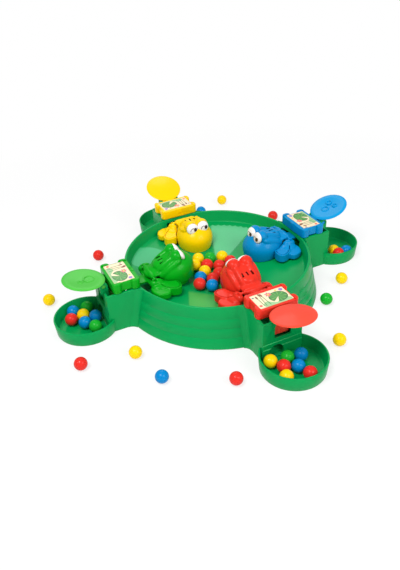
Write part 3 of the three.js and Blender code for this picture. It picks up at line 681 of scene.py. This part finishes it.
def thigh_outline(side, grown=0):
    """Leaf drawn from the hip at the back of the jaw out to the knee."""
    x, y = THIGH_AT
    lean = math.radians(THIGH_LEAN)
    steps = 56
    points = []
    for i in range(steps):
        turn = 2 * math.pi * i / steps
        along = (THIGH_LONG + grown) * math.cos(turn)
        beside = (THIGH_WIDE + grown) * math.sin(turn)
        points.append((x + along * math.cos(lean) - beside * math.sin(lean),
                       side * (y + along * math.sin(lean) + beside * math.cos(lean))))
    return points


def leg_clearance():
    """Room that the head needs between the legs."""
    reach, low, high = DOME + LEG_PLAY, 20, 60
    round_head = moved(lathe([(0, low), (reach, low), (reach, high), (0, high)], HEAD_AT), NARROWED)
    return joined(round_head, block(60, FOOT, -14, 14, low, high))


def tucked_leg(side):
    """The far leg, folded in under the head."""
    parts = [side_ball(side, *HIP), side_block(side, *TUCKED_SHIN, 1), side_ball(side, *TUCKED_KNEE)]
    return cut(melted(parts, LEG_GRAIN, 4), leg_clearance())


def stretched_leg(side):
    """The near leg: a leaf-shaped thigh beside the head, with a line along it, and a flat thick foot."""
    toes = [(x, side * y) for x, y in TOES]
    parts = [side_ball(side, *HIP), side_block(side, *SHIN, 1), side_ball(side, *KNEE),
             prism(thigh_outline(side), *THIGH_HEIGHTS, soft=2.6, steps=5),
             prism(toes, *TOE_HEIGHTS, soft=1.6, steps=4)]
    limb = melted(parts, LEG_GRAIN, 4)
    outer, inner = [thigh_outline(side, grown) for grown in THIGH_LINE]
    line = cut(prism(outer, 38.2, 44), prism(inner, 38, 45), side_block(side, 50, 100, 0, 22, 37, 46))
    return cut(limb, leg_clearance(), line)


def jaw(near):
    """Lower jaw with legs, cheeks for the head's pins and neck; near is the side of the stretched leg."""
    far, low, over = FOOT, JAW_LOW, JAW_OVER
    body = prism(pan_outline(0), low, low + JAW_DEEP)
    groove_low, groove_top = JAW_GROOVE
    groove = cut(prism(pan_outline(-4), low + groove_low, low + groove_top),
                 prism(pan_outline(1.1), low, low + 6))
    groove = cut(groove, block(0, JAW_FRONT + 0.4, -far, far, low, over),
                 block(75, far, -far, far, low, over))
    body = cut(body, prism(pan_outline(JAW_WALL), low + JAW_WALL, over), groove)
    opening_from, opening_half = JAW_OPENING
    body = cut(body, block(0, JAW_FRONT, -far, far, low + 3, over),
               block(RAIL_FROM, far, -far, far, low + RAIL_RISE, over),
               block(opening_from, far, -opening_half, opening_half, low - PAST, over))
    x, z = HINGE
    front, back, top = x - CHEEK_HALF, x + CHEEK_HALF, z + CHEEK_RISE
    cheek = [(front, low), (back, low), (back, z - 2), (x + 2, top), (x - 2, top), (front, z - 2)]
    for side in SIDES:
        body = joined(body, side_block(side, RAIL_FROM, x, *RAIL_ACROSS, low, low + RAIL_RISE, 0.3, 2))
        limb = stretched_leg(side) if side == near else tucked_leg(side)
        body = joined(body, prism(cheek, *ends(side, *CHEEK_ACROSS), across=True), limb)
    root = block(x, x + 5, -NECK_ROOT_HALF, NECK_ROOT_HALF, *NECK_HEIGHTS)
    neck = block(x, NECK_END, -NECK_HALF, NECK_HALF, *NECK_HEIGHTS, 0.3, 2)
    body = joined(body, root, neck)
    return cut(body, rod(HEAD_PIN + HEAD_PIN_PLAY, 25, x, z))


def dome(wall, low):
    """Head over the jaw: a slightly pointed dome above its middle and a full chin below it."""
    steps = 24
    turns = [math.radians(90 * i / steps) for i in range(steps + 1)]
    side = [((DOME - wall) * math.sin(a) ** 1.15, DOME_MIDDLE + (DOME_RISE - wall) * math.cos(a) ** 1.1)
            for a in turns]
    chin = [(r - wall * 0.85, z) for r, z in CHIN + [(20.1, low)]]
    return moved(lathe(side + chin + [(0, low)], HEAD_AT, 96), NARROWED)


def eyes(grown=0):
    """Both eyes, joined by a bar with two stems inside the head; grown, they are the room cut for them."""
    x, y, z = EYE_AT
    half = 1.3 + grown
    from_x, to_x = x + 2 - half, x + 2 + half
    pair = [ball(*[size + 2 * grown for size in EYE_SIZE], x, side * y, z, EYE_TILT) for side in SIDES]
    bar = block(from_x, to_x, -y - half, y + half, EYE_BAR - half, EYE_BAR + half)
    stems = [block(from_x, to_x, side * y - half, side * y + half, EYE_BAR, EYE_STEM_TOP + grown)
             for side in SIDES]
    return joined(bar, *stems, *pair)


def slit(y):
    """One of the three fine cuts behind the eyes, spread like a fan."""
    low, high = SLIT_HEIGHTS
    cutter = block(-SLIT_LONG, SLIT_LONG, -SLIT_WIDE, SLIT_WIDE, low - abs(y) * 0.2, high, 0.3, 2)
    return moved(cutter, Matrix.Translation((SLITS_AT, y, 0)) @ Matrix.Rotation(math.radians(y * 2), 4, "Z"))


def head():
    """Hollow upper head with lids, long folds and slits, open below, on two pins."""
    skin = [dome(0, CHIN_LOW), *[ball(*numbers) for numbers in NAPE], rod(*HEAD_BAR, *HINGE)]
    skin += [side_ball(side, *numbers) for side in SIDES for numbers in FOLDS]
    body = melted(skin, HEAD_GRAIN, 8)
    body = cut(body, dome(HEAD_WALL, CHIN_LOW - 1), *[slit(y) for y in SLITS])
    mouth = prism([(0, 0), (FOOT, 0), (FOOT, LIP_TOP)] + LIP, -MOUTH_HALF, MOUTH_HALF, across=True)
    body = cut(body, mouth, block(58, FOOT, -NAPE_HALF, NAPE_HALF, 0, LIP_TOP))
    body = joined(body, rod(*HEAD_HUB, *HINGE, soft=0.3), rod(HEAD_PIN, HEAD_PIN_HALF, *HINGE, soft=0.3))
    return cut(body, eyes(GAP))


def marble():
    bm = bmesh.new()
    bmesh.ops.create_icosphere(bm, subdivisions=5, radius=MARBLE / 2)
    return solid(bm)


# Finishes

class Value:
    """A shader number that sums and products can use."""

    def __init__(self, finish, socket):
        self.finish = finish
        self.socket = socket

    def make(self, how, *terms, clamp=False):
        settings = {"operation": how, "use_clamp": clamp}
        return self.finish.value("ShaderNodeMath", settings, dict(enumerate(terms)))

    def __add__(self, other):
        return self.make("ADD", self, other)

    def __radd__(self, other):
        return self.make("ADD", other, self)

    def __sub__(self, other):
        return self.make("SUBTRACT", self, other)

    def __rsub__(self, other):
        return self.make("SUBTRACT", other, self)

    def __mul__(self, other):
        return self.make("MULTIPLY", self, other)

    def __rmul__(self, other):
        return self.make("MULTIPLY", other, self)

    def __truediv__(self, other):
        return self.make("DIVIDE", self, other)

    def __pow__(self, other):
        return self.make("POWER", self, other)

    def __lt__(self, other):
        return self.make("LESS_THAN", self, other)

    def __gt__(self, other):
        return self.make("GREATER_THAN", self, other)

    def __abs__(self):
        return self.make("ABSOLUTE", self)

    def most(self, other):
        return self.make("MAXIMUM", self, other)

    def sine(self):
        return self.make("SINE", self)

    def cosine(self):
        return self.make("COSINE", self)

    def sign(self):
        return self.make("SIGN", self)

    def turn(self, along):
        """Angle of the line to a point this high and that far along, in radians."""
        return self.make("ARCTAN2", self, along)

    def below(self, edge, blur):
        """1 under an edge and 0 over it, with a soft step."""
        return self.make("DIVIDE", edge + blur / 2 - self, blur, clamp=True)


class Finish:
    """A material made of nodes."""

    def __init__(self, name):
        self.material = bpy.data.materials.new(name)
        self.material.use_nodes = True
        self.tree = self.material.node_tree
        self.tree.nodes.clear()
        self.out = self.node("ShaderNodeOutputMaterial")

    def node(self, kind, settings=None, sockets=None):
        node = self.tree.nodes.new(kind)
        for key, value in (settings or {}).items():
            setattr(node, key, value)
        for key, value in (sockets or {}).items():
            if isinstance(value, Value):
                self.tree.links.new(value.socket, node.inputs[key])
            else:
                node.inputs[key].default_value = value
        return node

    def value(self, kind, settings=None, sockets=None, output=0):
        return Value(self, self.node(kind, settings, sockets).outputs[output])

    def mix(self, share, first, second):
        """Second colour over the first, by a share of 0 to 1."""
        node = self.node("ShaderNodeMix", {"data_type": "RGBA"}, {0: share, 6: first, 7: second})
        return Value(self, node.outputs[2])

    def place(self):
        """Place in the frame of the arm, in millimetres, as three numbers."""
        whole = self.value("ShaderNodeAttribute", {"attribute_name": "place"}, output="Vector")
        node = self.node("ShaderNodeSeparateXYZ", None, {0: whole})
        return [Value(self, socket) for socket in node.outputs]

    def noise(self, scale, detail):
        """Cloudy pattern over the piece, about 0 to 1."""
        where = self.value("ShaderNodeTexCoord", output="Object")
        return self.value("ShaderNodeTexNoise", None, {"Vector": where, "Scale": scale, "Detail": detail})

    def surface(self, **sockets):
        """Material whose shader has these inputs."""
        shader = self.node("ShaderNodeBsdfPrincipled", None,
                           {key.replace("_", " "): value for key, value in sockets.items()})
        self.tree.links.new(shader.outputs[0], self.out.inputs[0])
        return self.material


def paint(red, green, blue):
    """Colour written as on a screen, for a shader."""
    shares = [value / 255 for value in (red, green, blue)]
    return tuple(c / 12.92 if c <= 0.04045 else ((c + 0.055) / 1.055) ** 2.4 for c in shares) + (1,)


def darker(colour, share):
    return tuple(c * share for c in colour[:3]) + (1,)


def gloss_plastic(name, colour, rough=0.24, extra=None):
    """Moulded plastic: slight colour drift, uneven gloss and the faint ripple of a mould."""
    finish = Finish(name)
    drift = finish.noise(28, 3)
    tint = finish.mix((drift - 0.35) * 1.2, darker(colour, 0.93), colour)
    if extra:
        tint = extra(finish, tint)
    ripple = finish.noise(160, 2) * 0.6 + finish.noise(1400, 1) * 0.4
    bump = finish.value("ShaderNodeBump", None, {"Strength": 0.05, "Distance": 0.0004, "Height": ripple},
                        "Normal")
    return finish.surface(Base_Color=tint, Roughness=rough + finish.noise(60, 3) * 0.1, Normal=bump,
                          Coat_Weight=0.05, Coat_Roughness=0.12, Specular_IOR_Level=0.12)


def slit_painted_shade(colour):
    """Paints shade into the bottoms of the three slits behind the eyes."""
    def shade(finish, tint):
        x, y, z = finish.place()
        near = (abs(x - SLITS_AT) < 2.8) * (z < 53.3) * (z > 49.6)
        lines = abs(abs(y) - 5.6).below(1.1, 0.2) + abs(y).below(0.9, 0.2)
        # Painted shade: the slits' bottoms are darkened to a near-black of the head's colour.
        return finish.mix(near * lines, tint, darker(colour, 0.22))
    return shade


def floor_zones_and_sheen(finish, tint):
    """Colour of the pond's floor over its raised zones: painted sheen makes the wedge and the round spot
    paler, and the patch in front is a warmer olive.
    """
    x, y, z = finish.place()
    reach = (x * x + y * y) ** 0.5
    turn = y.turn(x)
    floor = (z < FLOOR_EDGE_TOP + 4) * (z > FLOOR_MIDDLE - 1) * (reach < FLOOR_EDGE + 1)
    low, high = [math.radians(angle) for angle in WEDGE]
    edge = WAVE_AT - WAVE_DEEP * abs(((turn - low) * WAVES).sine())
    spread = abs(turn - (low + high) / 2).below((high - low) / 2, 0.04)
    wedge = (reach - edge).below(0, 1.5) * spread * (reach > 24)
    # Painted sheen: the raised wedge is made paler, as if light glanced off it.
    tint = finish.mix(floor * wedge * 0.62, tint, paint(105, 200, 148))
    spot_x, spot_y, spot_radius = ROUND_SPOT
    spot = ((x - spot_x) ** 2 + (y - spot_y) ** 2) ** 0.5
    # Painted sheen: the raised round spot is made paler in the same way.
    tint = finish.mix(floor * spot.below(spot_radius, 2) * 0.5, tint, paint(90, 195, 145))
    corner_x, corner_y = FRONT_ZONE[0]
    left = (0.43 * (y - corner_y) - (x - corner_x)).below(0, 1.5)
    right = (x + 25).below(0, 3)
    back = (y + 30 + (x - corner_x) * 0.9).below(0, 6)
    return finish.mix(floor * (left * right * back) * 0.42, tint, paint(110, 190, 80))


def eye_paint():
    """Glossy white with a dark pupil and a curved stroke beside it on the front of each eye."""
    finish = Finish("eye_white_gloss")
    x, y, z = finish.place()
    side = y - EYE_AT[1] * y.sign()
    front = x < EYE_AT[0] - 0.4
    spread = lambda at, half: ((side - at[0]) / half[0]) ** 2 + ((z - at[1]) / half[1]) ** 2
    pupil = spread(PUPIL_AT, PUPIL_HALF).below(1, 0.25)
    bend = spread(STROKE_AT, STROKE_HALF)
    stroke = abs(bend - 1).below(0.22, 0.16) * (z > 51) * (side > -0.9)
    white = finish.mix(finish.noise(90, 2), paint(236, 230, 226), paint(252, 250, 247))
    tint = finish.mix(front * pupil, white, paint(60, 30, 20))
    tint = finish.mix(front * stroke, tint, paint(70, 45, 35))
    return finish.surface(Base_Color=tint, Roughness=0.16 + finish.noise(70, 2) * 0.08, Coat_Weight=0.4,
                          Coat_Roughness=0.08)


# Picture on the covers: a lily leaf with a flower, three reeds, spots and a fine border
LEAF_AT = (113.2, 6.8)
LEAF_SIZE = (7.8, 9.6)
FLOWER_AT = (106.5, -0.5)
# Reeds: where each stands, how it leans and how high it reaches
REEDS = ((-6.5, 0.1, 104.5), (-9.4, -0.06, 102.8), (-12.4, 0.05, 106))
REED_MIDDLE = 112
SPOTS = ((104.6, 14.5, 2.1, (142, 120, 190)), (119, -15.3, 1.5, (240, 80, 60)),
         (105, -16, 1, (80, 90, 120)), (103.8, 9.2, 1.1, (244, 190, 50)))
BORDER_INSET = 0.5
BORDER_LONGER = 6.95


def label_leaf(finish, tint, x, y):
    """Round leaf with a notch, veins and a dark edge."""
    along, beside = x - LEAF_AT[0], y - LEAF_AT[1]
    spin = beside.turn(along)
    reach = ((beside / LEAF_SIZE[1]) ** 2 + (along / LEAF_SIZE[0]) ** 2) ** 0.5
    leaf = reach.below(1, 0.06) * (abs(spin + 0.7) > 0.24)
    veins = abs((spin * 4.5).sine()).below(0.22, 0.1) * reach.below(0.9, 0.05) * leaf
    tint = finish.mix(leaf, tint, paint(70, 140, 66))
    tint = finish.mix(veins, tint, paint(126, 190, 88))
    return finish.mix(leaf * abs(reach - 0.95).below(0.05, 0.03), tint, paint(22, 96, 48))


def label_flower(finish, tint, x, y):
    """Flower of six petals with a yellow middle."""
    along, beside = x - FLOWER_AT[0], y - FLOWER_AT[1]
    span = (beside ** 2 + along ** 2) ** 0.5
    petals = (span - 0.7 * (beside.turn(along) * 6).cosine()).below(2.7, 0.25)
    tint = finish.mix(petals, tint, paint(238, 96, 120))
    return finish.mix(span.below(1.1, 0.25), tint, paint(252, 206, 60))


def label_reeds(finish, tint, x, y):
    """Thin stems with brown tips."""
    for at, lean, height in REEDS:
        stem = abs(y - at - lean * (x - REED_MIDDLE)).below(0.35, 0.15) * (x > height)
        tint = finish.mix(stem * (x < 121), tint, paint(60, 120, 58))
        tip = (y - at - lean * (height - REED_MIDDLE)) ** 2 + ((x - height) / 2.5) ** 2
        tint = finish.mix(tip.below(1, 0.2), tint, paint(128, 76, 44))
    return tint


def label_print():
    """Printed card: cream with pale green water at one edge, the leaf, flower, reeds, spots and border."""
    finish = Finish("label_card")
    x, y, _ = finish.place()
    grain = finish.noise(900, 2)
    tint = finish.mix(grain, paint(238, 216, 178), paint(246, 228, 192))
    bank = ((x - 120) + 2.4 * ((y - 6) * 0.35).sine()).below(-2, 0.4)
    tint = finish.mix((1 - bank) * (y < 17) * (y > -12), tint, paint(150, 196, 140))
    tint = label_leaf(finish, tint, x, y)
    tint = label_flower(finish, tint, x, y)
    tint = label_reeds(finish, tint, x, y)
    for spot_x, spot_y, size, colour in SPOTS:
        spot = ((x - spot_x) ** 2 + (y - spot_y) ** 2) ** 0.5
        tint = finish.mix(spot.below(size, 0.2), tint, paint(*colour))
    middle = (LABEL_FROM + LABEL_TO) / 2
    border = (LABEL_TO - LABEL_FROM) / 2 - BORDER_INSET
    edge = (abs(y) - BORDER_LONGER).most(abs(x - middle))
    tint = finish.mix(abs(edge - border).below(0.12, 0.1), tint, paint(226, 190, 140))
    return finish.surface(Base_Color=tint, Roughness=0.34 + grain * 0.08, Coat_Weight=0.2, Coat_Roughness=0.2)


BASE = paint(0, 156, 80)
PLASTIC = {"blue": paint(0, 138, 200), "yellow": paint(255, 210, 0), "green": paint(4, 165, 26),
           "red": paint(228, 50, 34)}
PAD = {"blue": paint(0, 152, 214), "yellow": PLASTIC["yellow"], "green": paint(80, 190, 70),
       "red": paint(243, 76, 56)}
MARBLES = {"blue": paint(0, 132, 200), "red": paint(228, 48, 38), "yellow": paint(255, 212, 8),
           "green": paint(26, 172, 46)}
base_gloss = gloss_plastic("base_plastic", BASE, 0.3, floor_zones_and_sheen)
body_gloss = {c: gloss_plastic(f"{c}_gloss", PLASTIC[c]) for c in ARMS}
head_gloss = {c: gloss_plastic(f"{c}_head_gloss", PLASTIC[c], extra=slit_painted_shade(PLASTIC[c])) for c in ARMS}
pad_gloss = {c: gloss_plastic(f"{c}_leaf_gloss", PAD[c], 0.28) for c in ARMS}
marble_gloss = {c: gloss_plastic(f"{c}_marble_gloss", MARBLES[c], 0.2) for c in MARBLES}
eye_gloss = eye_paint()
label_gloss = label_print()


# Setting the pieces in place

def place_piece(pattern, name, body, material, where, node=None, crisp=38):
    """A copy of a shape, brought to its place, riding on a body and standing for a node."""
    mesh = pattern.data.copy()
    mesh.name = name
    spots = [0.0] * (3 * len(mesh.vertices))
    mesh.vertices.foreach_get("co", spots)
    mesh.attributes.new("place", "FLOAT_VECTOR", "POINT").data.foreach_set("vector", spots)
    mesh.transform(where)
    mesh.materials.clear()
    mesh.materials.append(material)
    mesh.shade_smooth()
    mesh.set_sharp_from_angle(angle=math.radians(crisp))
    piece = bpy.data.objects.new(name, mesh)
    bpy.context.scene.collection.objects.link(piece)
    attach(piece, body)
    if node:
        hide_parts(node)


def place_marble(name, body, colour, where, node=None):
    place_piece(shapes["marble"], name, body, marble_gloss[colour], where, node, 180)


shapes = {"tower": tower(), "dish": dish(), "cover": cover(), "label": label(), "head": head(),
          "eyes": eyes(), "marble": marble()}
shapes.update({f"lever_{c}": lever(c) for c in ARMS})
shapes.update({f"jaw_{c}": jaw(NEAR_LEG[c]) for c in ARMS})
shapes["pond"] = pond()

place_piece(shapes["pond"], "pond", "base", base_gloss, METRES, "pond_tray")
for colour, (turn, pressed) in ARMS.items():
    arm = METRES @ Matrix.Rotation(math.radians(turn), 4, "Z")
    press = math.radians(pressed)
    pushed = arm @ swing(*LEVER_AT, press)
    frog = arm @ Matrix.Translation((-SLIDE * press, 0, 0))
    face = frog @ swing(*HINGE, HEAD_SHARE * press)
    tone, gloss = f"{colour}_plastic", body_gloss[colour]
    lever_body, jaw_body, head_body = f"lever_{colour}", f"jaw_{colour}", f"head_{colour}"
    place_piece(shapes["tower"], f"arm_{colour}", "base", base_gloss, arm,
                f"tower_{colour}", 30)
    place_piece(shapes["dish"], f"bowl_{colour}", "base", base_gloss, arm, f"dish_{colour}")
    place_piece(shapes["cover"], f"cap_{colour}", "base", gloss, arm, f"cover_{colour}")
    place_piece(shapes["label"], f"label_{colour}", "base", label_gloss, arm)
    place_piece(shapes[lever_body], f"leaf_{colour}", lever_body, pad_gloss[colour], pushed, lever_body)
    place_piece(shapes[jaw_body], f"legs_{colour}", jaw_body, gloss, frog, jaw_body)
    place_piece(shapes["head"], f"face_{colour}", head_body, head_gloss[colour], face, head_body)
    place_piece(shapes["eyes"], f"eye_pair_{colour}", head_body, eye_gloss, face,
                f"eyes_{colour}")

loose = [(f"marble_pond_{i + 1}", colour) for i, colour in enumerate(POND_MARBLES.split())]
for arm, row in DISH_MARBLES.items():
    loose += [(f"marble_dish_{arm}_{i + 1}", colour) for i, colour in enumerate(row.split())]
for node, colour in loose:
    low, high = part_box(node)
    where = Matrix.Translation((low + high) / 2) @ METRES
    place_marble(node.replace("marble", "ball"), node, colour, where, node)

for i, (colour, x, y) in enumerate(TABLE_MARBLES):
    place_marble(f"table_marble_{i + 1}", "base", colour, METRES @ Matrix.Translation((x, y, MARBLE / 2)))
resting = (*DISH_MARBLE, DISH_FLOOR + GAP + MARBLE / 2)
place_marble("dish_marble", "base", "red", METRES @ Matrix.Translation(resting))
for shape in shapes.values():
    bpy.data.objects.remove(shape)


# Studio

def table_top():
    """Pale floor that keeps the object's shadow and is white to the camera further out."""
    bm = bmesh.new()
    bmesh.ops.create_grid(bm, x_segments=1, y_segments=1, size=3)
    table = solid(bm)
    table.name = "table"
    finish = Finish("pale_table")
    rays = finish.node("ShaderNodeLightPath")
    camera_ray, glossy_ray, clear_ray = [Value(finish, rays.outputs[name]) for name in
                                         ("Is Camera Ray", "Is Glossy Ray", "Is Transmission Ray")]
    seen = camera_ray.most(glossy_ray).most(clear_ray)
    matt = finish.node("ShaderNodeBsdfPrincipled", None, {"Base Color": (0.9, 0.9, 0.9, 1), "Roughness": 0.8})
    glow = finish.node("ShaderNodeEmission", None, {"Color": (1, 1, 1, 1), "Strength": 1.0})
    spot = finish.value("ShaderNodeTexCoord", output="Object")
    away = finish.value("ShaderNodeVectorMath", {"operation": "LENGTH"}, {0: spot}, "Value")
    blend = finish.node("ShaderNodeMixShader", None, {0: seen * (1 - 0.28 * away.below(0.4, 0.3))})
    finish.tree.links.new(matt.outputs[0], blend.inputs[1])
    finish.tree.links.new(glow.outputs[0], blend.inputs[2])
    finish.tree.links.new(blend.outputs[0], finish.out.inputs[0])
    table.data.materials.append(finish.material)


def surroundings():
    """White behind everything, and dimmer white light all round."""
    world = bpy.data.worlds.new("studio")
    bpy.context.scene.world = world
    world.use_nodes = True
    tree = world.node_tree
    tree.nodes.clear()
    rays = tree.nodes.new("ShaderNodeLightPath")
    mix = tree.nodes.new("ShaderNodeMixShader")
    out = tree.nodes.new("ShaderNodeOutputWorld")
    for strength, place in ((0.42, 1), (1.0, 2)):
        light = tree.nodes.new("ShaderNodeBackground")
        light.inputs["Color"].default_value = (1, 1, 1, 1)
        light.inputs["Strength"].default_value = strength
        tree.links.new(light.outputs[0], mix.inputs[place])
    tree.links.new(rays.outputs["Is Camera Ray"], mix.inputs[0])
    tree.links.new(mix.outputs[0], out.inputs[0])


# Lamps: name, place in metres, width and power
LAMPS = (("key", (-0.55, -0.35, 1.1), 0.5, 10.5), ("fill", (0.35, -0.95, 0.8), 0.7, 6),
         ("back", (0.3, 0.9, 0.9), 0.6, 2.6))


def lamps():
    for name, spot, size, power in LAMPS:
        light = bpy.data.lights.new(name, "AREA")
        light.shape = "DISK"
        light.size = size
        light.energy = power
        lamp = bpy.data.objects.new(name, light)
        lamp.location = spot
        lamp.rotation_euler = (-Vector(spot)).to_track_quat("-Z", "Y").to_euler()
        bpy.context.scene.collection.objects.link(lamp)


# The photograph's view: from between two of the arms, looking down, slightly rolled
VIEW_TURN = -24.39
VIEW_RISE = 34.71
VIEW_ROLL = -2.74
VIEW_DISTANCE = 0.6195
VIEW_AIM = (-0.0289, -0.0152, 0.0202)
VIEW_LENS = 36.17


def camera():
    turn, rise, roll = [math.radians(angle) for angle in (VIEW_TURN, VIEW_RISE, VIEW_ROLL)]
    back = Vector((math.sin(turn) * math.cos(rise), -math.cos(turn) * math.cos(rise), math.sin(rise)))
    right = Vector((0, 0, 1)).cross(back).normalized()
    up = back.cross(right)
    level = right * math.cos(roll) + up * math.sin(roll)
    high = up * math.cos(roll) - right * math.sin(roll)
    axes = Matrix((level, high, back)).transposed().to_4x4()
    view = bpy.data.cameras.new("view")
    view.sensor_fit = "VERTICAL"
    view.sensor_height = 36
    view.lens = VIEW_LENS
    eye = bpy.data.objects.new("view", view)
    eye.matrix_world = Matrix.Translation(Vector(VIEW_AIM) + back * VIEW_DISTANCE) @ axes
    bpy.context.scene.collection.objects.link(eye)
    bpy.context.scene.camera = eye


table_top()
surroundings()
lamps()
camera()
bpy.context.scene.view_settings.view_transform = "Standard"
